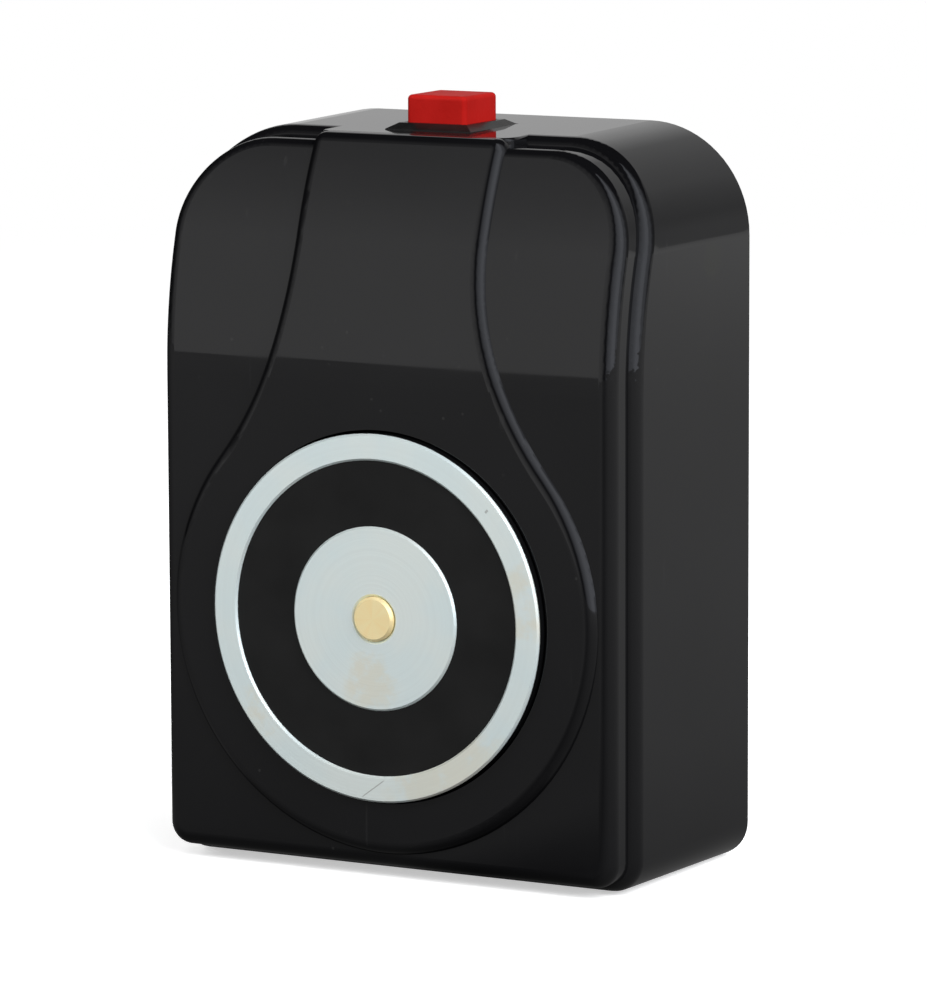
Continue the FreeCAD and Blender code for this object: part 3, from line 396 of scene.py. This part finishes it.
def zinc_face():
    """Turned and zinc-plated iron: bluish white with straw-coloured patches and fine turning rings."""
    material, tree, shader, place = new_material("zinc_plated_iron")
    x, y, z = axes_of(tree, place)
    radius = turned_radius(tree, x, z)
    fine_rings = bands_along(tree, radius, 2600.0, 3.0)
    coarse_rings = bands_along(tree, radius, 1500.0, 3.0)
    straw = greatest(tree, [
        blotch_at(tree, place, (at_x, MAGNET_FACE, at_z), reach, scale, threshold)
        for at_x, at_z, reach, scale, threshold in STRAW_PATCHES])
    scratches = [
        scratch_along(tree, place, (a[0], MAGNET_FACE, a[1]), (b[0], MAGNET_FACE, b[1]), half_width)
        for a, b, half_width in ZINC_SCRATCHES]
    marks = greatest(tree, scratches + [dust(tree, place, 330.0, 0.11)])

    cloud = steps(tree, noise(tree, place, 85.0, 3.0), 0.35, 0.7)
    white = mixed(tree, cloud, (0.865, 0.985, 0.985), (0.92, 1.0, 0.97))
    tinted = mixed(tree, maths(tree, "MULTIPLY", straw, 0.6), white, (0.92, 0.88, 0.72))
    turned = mixed(tree, steps(tree, coarse_rings, 0.35, 0.65, 0.0, 0.028), tinted, (0.5, 0.5, 0.48))
    marked = mixed(tree, maths(tree, "MULTIPLY", marks, 0.55), turned, (0.30, 0.30, 0.28))
    behind_face = steps(tree, y, MAGNET_FACE + ZINC_END, MAGNET_FACE + WALL_START)
    tree.links.new(mixed(tree, behind_face, marked, (0.010, 0.010, 0.011)), shader.inputs["Base Color"])
    shader.inputs["Metallic"].default_value = 0.65
    tree.links.new(ramp(tree, fine_rings, [(0.3, 0.30), (0.7, 0.42)]), shader.inputs["Roughness"])
    bump(tree, shader, fine_rings, 0.2, 0.00005)
    return material


def brass_face():
    """Turned brass: fine rings, and a warm colour that shifts round the axis in a painted fan of sheen.
    """
    material, tree, shader, place = new_material("turned_brass")
    x, _, z = axes_of(tree, place)
    rings = bands_along(tree, turned_radius(tree, x, z), 5200.0, 2.0)
    # Painted sheen: lighter and darker rays of brass colour round the axis stand in for the turned
    # face's fan-shaped highlight
    painted_sheen_rays = bands_along(tree, maths(tree, "ARCTAN2", x, z), 1.6, 1.0)
    base = mixed(tree, steps(tree, painted_sheen_rays, 0.3, 0.7), (1.0, 0.80, 0.42), (1.0, 0.84, 0.47))
    tree.links.new(base, shader.inputs["Base Color"])
    shader.inputs["Metallic"].default_value = 0.5
    shader.inputs["Roughness"].default_value = 0.28
    bump(tree, shader, rings, 0.25, 0.00005)
    return material


def red_cap():
    """Moulded red plastic, slightly uneven in colour, with a fine spark-eroded grain."""
    material, tree, shader, place = new_material("red_plastic")
    tone = ramp(tree, noise(tree, place, 160.0, 4.0),
                [(0.3, (0.285, 0.006, 0.0045)), (0.7, (0.35, 0.009, 0.007))])
    tree.links.new(tone, shader.inputs["Base Color"])
    shader.inputs["Roughness"].default_value = 0.5
    shader.inputs["Specular IOR Level"].default_value = 0.06
    bump(tree, shader, noise(tree, place, 1500.0, 3.0, 0.6), 0.35, 0.00012)
    return material


def plain(name, low, high, scale, roughness, metallic, specular):
    """Simple moulded, plated or coated finish with colour variation and grain."""
    material, tree, shader, place = new_material(name)
    tone = ramp(tree, noise(tree, place, scale, 3.0), [(0.3, low), (0.7, high)])
    tree.links.new(tone, shader.inputs["Base Color"])
    shader.inputs["Metallic"].default_value = metallic
    shader.inputs["Roughness"].default_value = roughness
    shader.inputs["Specular IOR Level"].default_value = specular
    grain = noise(tree, place, PLAIN_GRAIN_SCALE, 2.0)
    bump(tree, shader, grain, PLAIN_GRAIN_STRENGTH, PLAIN_GRAIN_DEPTH)
    return material


def assign(node_name, material):
    """Gives a carried-over CAD node its finish."""
    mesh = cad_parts[node_name].data
    mesh.materials.clear()
    mesh.materials.append(material)


def new_object(name, data):
    thing = bpy.data.objects.new(name, data)
    bpy.context.scene.collection.objects.link(thing)
    return thing


def set_camera():
    back = Vector((math.sin(VIEW_AZIMUTH) * math.cos(VIEW_TILT),
                   -math.cos(VIEW_AZIMUTH) * math.cos(VIEW_TILT),
                   math.sin(VIEW_TILT)))
    right = Vector((math.cos(VIEW_AZIMUTH), math.sin(VIEW_AZIMUTH), 0.0))
    up = back.cross(right)
    side = right * math.cos(VIEW_ROLL) + up * math.sin(VIEW_ROLL)
    high = up * math.cos(VIEW_ROLL) - right * math.sin(VIEW_ROLL)
    place = VIEW_TARGET - side * VIEW_SIDE - high * VIEW_UP + back * VIEW_DISTANCE
    camera = new_object("camera", bpy.data.cameras.new("camera"))
    camera.data.lens = LENS_MM
    camera.data.sensor_width = SENSOR_MM
    camera.data.clip_start = CLIP_NEAR
    camera.data.clip_end = CLIP_FAR
    matrix = camera.matrix_world.copy()
    for row in range(3):
        for column, vector in enumerate((side, high, back, place)):
            matrix[row][column] = vector[row]
    camera.matrix_world = matrix
    bpy.context.scene.camera = camera


def band(tree, value, stops):
    """Straight lines between stops: each is a place on the value's scale and the result there."""
    first, last = stops[0][0], stops[-1][0]
    top = max(result for _, result in stops)
    span = steps(tree, value, first, last)
    span.node.interpolation_type = "LINEAR"
    shares = [((at - first) / (last - first), result / top) for at, result in stops]
    return maths(tree, "MULTIPLY", ramp(tree, span, shares), top)


def azimuth_of(tree, x, y):
    """Azimuth in degrees round the vertical axis, a full turn from AZIMUTH_START."""
    degrees = maths(tree, "DEGREES", maths(tree, "ARCTAN2", x, maths(tree, "MULTIPLY", y, -1.0)))
    turn = maths(tree, "MULTIPLY", maths(tree, "LESS_THAN", degrees, AZIMUTH_START), FULL_TURN)
    return maths(tree, "ADD", degrees, turn)


def set_world():
    """Studio round the object, as the gloss mirrors it. The camera itself sees plain white."""
    world = bpy.data.worlds.new("studio")
    bpy.context.scene.world = world
    world.use_nodes = True
    tree = world.node_tree
    place = tree.nodes.new("ShaderNodeTexCoord").outputs["Generated"]
    x, y, z = axes_of(tree, place)
    azimuth = azimuth_of(tree, x, y)
    elevation = maths(tree, "DEGREES", maths(tree, "ARCSINE", z))
    front_left, right, back = [
        maths(tree, "MULTIPLY", band(tree, azimuth, around), band(tree, elevation, upward))
        for around, upward in ((FRONT_LEFT_AROUND, FRONT_LEFT_UP), (RIGHT_AROUND, RIGHT_UP),
                               (BACK_AROUND, BACK_UP))]
    plain_light = maths(tree, "ADD", maths(tree, "ADD", front_left, back), AMBIENT)
    red, green, blue = [
        maths(tree, "ADD", plain_light, maths(tree, "MULTIPLY", right, tint)) for tint in RIGHT_TINT]
    colour = add_node(tree, "ShaderNodeCombineColor", Red=red, Green=green, Blue=blue).outputs[0]
    seen = tree.nodes.new("ShaderNodeLightPath").outputs["Is Camera Ray"]
    tree.links.new(mixed(tree, seen, colour, (1.0, 1.0, 1.0)), tree.nodes["Background"].inputs["Color"])


def add_area(name, place, target, size, power):
    lamp = bpy.data.lights.new(name, "AREA")
    lamp.shape = "RECTANGLE"
    lamp.size = lamp.size_y = size
    lamp.energy = power
    thing = new_object(name, lamp)
    thing.location = place
    thing.rotation_euler = (Vector(target) - Vector(place)).to_track_quat("-Z", "Y").to_euler()
    thing.visible_glossy = False


def from_case(tree, x, y):
    """Distance on the floor from the case's footprint, which sets the painted shadow, and whether a
    point is on the case's right, where the painted shadow is left off.
    """
    low, high = cad_box
    squares = []
    for value, a, b in ((x, low[0], high[0]), (y, low[1], high[1])):
        middle = maths(tree, "ABSOLUTE", maths(tree, "SUBTRACT", value, 0.5 * (a + b)))
        beyond = maths(tree, "MAXIMUM", maths(tree, "SUBTRACT", middle, 0.5 * (b - a)), 0.0)
        squares.append(maths(tree, "MULTIPLY", beyond, beyond))
    gap = maths(tree, "SQRT", maths(tree, "ADD", *squares))
    return gap, steps(tree, x, FLOOR_PAINTED_SHADOW_SIDE * high[0], high[0])


def floor_material():
    """Pale floor: white with soft shadows where it is looked at; where the gloss mirrors it, a glow of
    painted light and shade.
    """
    material = bpy.data.materials.new("pale_floor")
    material.use_nodes = True
    tree = material.node_tree
    tree.nodes.clear()
    place = tree.nodes.new("ShaderNodeTexCoord").outputs["Object"]
    x, y, _ = axes_of(tree, place)
    far = distance_to(tree, place, (0.0, 0.0, CASE_FOOT))
    around = azimuth_of(tree, x, y)

    # Painted light: the mirrored floor's glow is set by distance and azimuth, with painted light
    # patches far behind
    painted_floor_light = maths(tree, "MULTIPLY", band(tree, far, FLOOR_TONES), band(tree, around, FLOOR_AROUND))
    patch = maths(tree, "MULTIPLY", steps(tree, far, FLOOR_PATCH_START, FLOOR_PATCH_FULL),
                  band(tree, around, FLOOR_PATCH))
    gap, beside = from_case(tree, x, y)
    # Painted shadow: the mirrored floor glow darkens near the case, except beside its right side
    painted_shadow = maths(tree, "MAXIMUM", band(tree, gap, FLOOR_PAINTED_SHADOW), beside)
    painted_floor_glow = maths(tree, "MULTIPLY", maths(tree, "ADD", painted_floor_light, patch), painted_shadow)
    mirrored = add_node(tree, "ShaderNodeEmission", Strength=painted_floor_glow).outputs[0]

    paper = ramp(tree, noise(tree, place, PAPER_SCALE), [(0.3, PAPER_DARK), (0.7, PAPER_LIGHT)])
    matte = add_node(tree, "ShaderNodeBsdfDiffuse", Color=paper).outputs[0]
    glow = add_node(tree, "ShaderNodeEmission", Strength=PAPER_GLOW).outputs[0]
    near = tree.nodes.new("ShaderNodeAddShader")
    tree.links.new(matte, near.inputs[0])
    tree.links.new(glow, near.inputs[1])
    white = add_node(tree, "ShaderNodeEmission", Strength=1.0).outputs[0]
    looked_at = add_node(tree, "ShaderNodeMixShader", Fac=steps(tree, far, PAPER_END, WHITE_START))
    tree.links.new(near.outputs[0], looked_at.inputs[1])
    tree.links.new(white, looked_at.inputs[2])

    seen = tree.nodes.new("ShaderNodeLightPath").outputs["Is Camera Ray"]
    either = add_node(tree, "ShaderNodeMixShader", Fac=seen)
    tree.links.new(mirrored, either.inputs[1])
    tree.links.new(looked_at.outputs[0], either.inputs[2])
    output = tree.nodes.new("ShaderNodeOutputMaterial")
    tree.links.new(either.outputs[0], output.inputs["Surface"])
    return material


def add_floor():
    mesh = bpy.data.meshes.new("floor")
    corners = [(FLOOR_LEFT, FLOOR_FRONT), (FLOOR_RIGHT, FLOOR_FRONT),
               (FLOOR_RIGHT, FLOOR_BACK), (FLOOR_LEFT, FLOOR_BACK)]
    mesh.from_pydata([(x, y, CASE_FOOT) for x, y in corners], [], [(0, 1, 2, 3)])
    floor = new_object("floor", mesh)
    mesh.materials.append(floor_material())


def neck_plan():
    """Outline of the neck's top, seen from above: round front corners, and a gap for the flange."""
    plan = [(NECK_HALF_WIDTH, NECK_BACK)]
    for k in range(NECK_CORNER_STEPS + 1):
        turn = math.radians(90.0 / NECK_CORNER_STEPS * k)
        plan.append((NECK_HALF_WIDTH - NECK_CORNER * (1.0 - math.cos(turn)),
                     NECK_FRONT + NECK_CORNER * (1.0 - math.sin(turn))))
    plan += [(-x, y) for x, y in reversed(plan)]
    plan += [(-FLANGE_HALF_WIDTH, NECK_BACK), (-FLANGE_HALF_WIDTH, FLANGE_FRONT),
             (FLANGE_HALF_WIDTH, FLANGE_FRONT), (FLANGE_HALF_WIDTH, NECK_BACK)]
    return plan


def add_neck_top(finish):
    """Top of the panel's neck: the case's top face, carried forward to the panel's upper edge."""
    plan = neck_plan()
    form = bmesh.new()
    upper = [form.verts.new((x, y, CASE_TOP + math.tan(TOP_DRAFT) * y + SKIN)) for x, y in plan]
    lower = [form.verts.new((x, y, NECK_FOOT)) for x, y in plan]
    form.faces.new(upper)
    form.faces.new(lower[::-1])
    for k in range(len(plan)):
        after = (k + 1) % len(plan)
        form.faces.new((lower[k], lower[after], upper[after], upper[k]))
    bmesh.ops.recalc_face_normals(form, faces=form.faces)
    corner_start = NECK_HALF_WIDTH - 1.01 * NECK_CORNER
    outer = []
    for edge in form.edges:
        a, b = edge.verts
        if a in upper and b in upper and min(abs(a.co.x), abs(b.co.x)) > corner_start:
            outer.append(edge)
    bmesh.ops.bevel(form, geom=outer, offset=NECK_EDGE, segments=NECK_EDGE_STEPS, profile=0.5,
                    affect="EDGES")
    for face in form.faces:
        face.smooth = 0.05 < abs(face.normal.z) < 0.995
    mesh = bpy.data.meshes.new("neck_top")
    form.to_mesh(mesh)
    form.free()
    piece = new_object("neck_top", mesh)
    mesh.materials.append(finish)
    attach(piece, "case")


def coil_mesh(name, start, along, length, radius, wire, turns):
    """Wire wound round a line, with one closed turn at each end."""
    side = Vector((1.0, 0.0, 0.0))
    out = along.cross(side)
    pitch = (length - 3.0 * wire) / turns
    points = []
    for k in range((turns + 2) * STEPS_A_TURN + 1):
        turn = k / STEPS_A_TURN
        open_turns = min(max(turn - 1.0, 0.0), turns)
        climb = 0.5 * wire + pitch * open_turns + wire * (turn - open_turns)
        spoke = side * math.cos(math.tau * turn) + out * math.sin(math.tau * turn)
        for j in range(WIRE_SIDES):
            lean = math.tau * j / WIRE_SIDES
            points.append(start + spoke * (radius + 0.5 * wire * math.cos(lean))
                          + along * (climb + 0.5 * wire * math.sin(lean)))
    last = len(points) - 1
    faces = [tuple(range(WIRE_SIDES)), tuple(range(last, last - WIRE_SIDES, -1))]
    for first in range(0, len(points) - WIRE_SIDES, WIRE_SIDES):
        for j in range(WIRE_SIDES):
            a, b = first + j, first + (j + 1) % WIRE_SIDES
            faces.append((a, a + WIRE_SIDES, b + WIRE_SIDES, b))
    mesh = bpy.data.meshes.new(name)
    mesh.from_pydata(points, [], faces)
    form = bmesh.new()
    form.from_mesh(mesh)
    bmesh.ops.recalc_face_normals(form, faces=form.faces)
    form.to_mesh(mesh)
    form.free()
    mesh.polygons.foreach_set("use_smooth", [len(face.vertices) == 4 for face in mesh.polygons])
    return mesh


def add_spring(finish, node_name, wire, turns, axis, joint, travel, fixed_end):
    """Coil spring in place of a CAD node."""
    low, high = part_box(node_name)
    length = high[axis] - low[axis]
    along = Vector([float(k == axis) for k in range(3)])
    start = 0.5 * (low + high) - along * (0.5 * length)
    radius = 0.5 * (high[0] - low[0] - wire)
    name = node_name + "_coil"
    mesh = coil_mesh(name, start, along, length, radius, wire, turns)
    piece = new_object(name, mesh)
    mesh.materials.append(finish)
    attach(piece, "case")
    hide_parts(node_name)
    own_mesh(piece)


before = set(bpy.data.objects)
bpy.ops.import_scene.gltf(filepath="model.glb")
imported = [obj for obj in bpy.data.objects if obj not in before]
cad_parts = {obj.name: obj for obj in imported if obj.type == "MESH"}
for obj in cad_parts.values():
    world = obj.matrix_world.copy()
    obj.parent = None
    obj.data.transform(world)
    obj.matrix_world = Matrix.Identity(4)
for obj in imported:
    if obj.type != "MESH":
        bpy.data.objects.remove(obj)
cad_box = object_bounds()
bpy.context.scene.view_settings.view_transform = "Standard"
set_camera()
set_world()
add_floor()
for fill in FILLS:
    add_area(*fill)

finishes = {
    "gloss_black_plastic": gloss_black(),
    "zinc_plated_iron": zinc_face(),
    "turned_brass": brass_face(),
    "red_plastic": red_cap(),
}
for name, settings in PLAIN_FINISHES.items():
    finishes[name] = plain(name, *settings)
for finish_name, node_names in NODES_BY_FINISH.items():
    for node_name in node_names:
        assign(node_name, finishes[finish_name])
add_neck_top(finishes["gloss_black_plastic"])
for spring in SPRINGS:
    add_spring(finishes["plated_steel"], *spring)
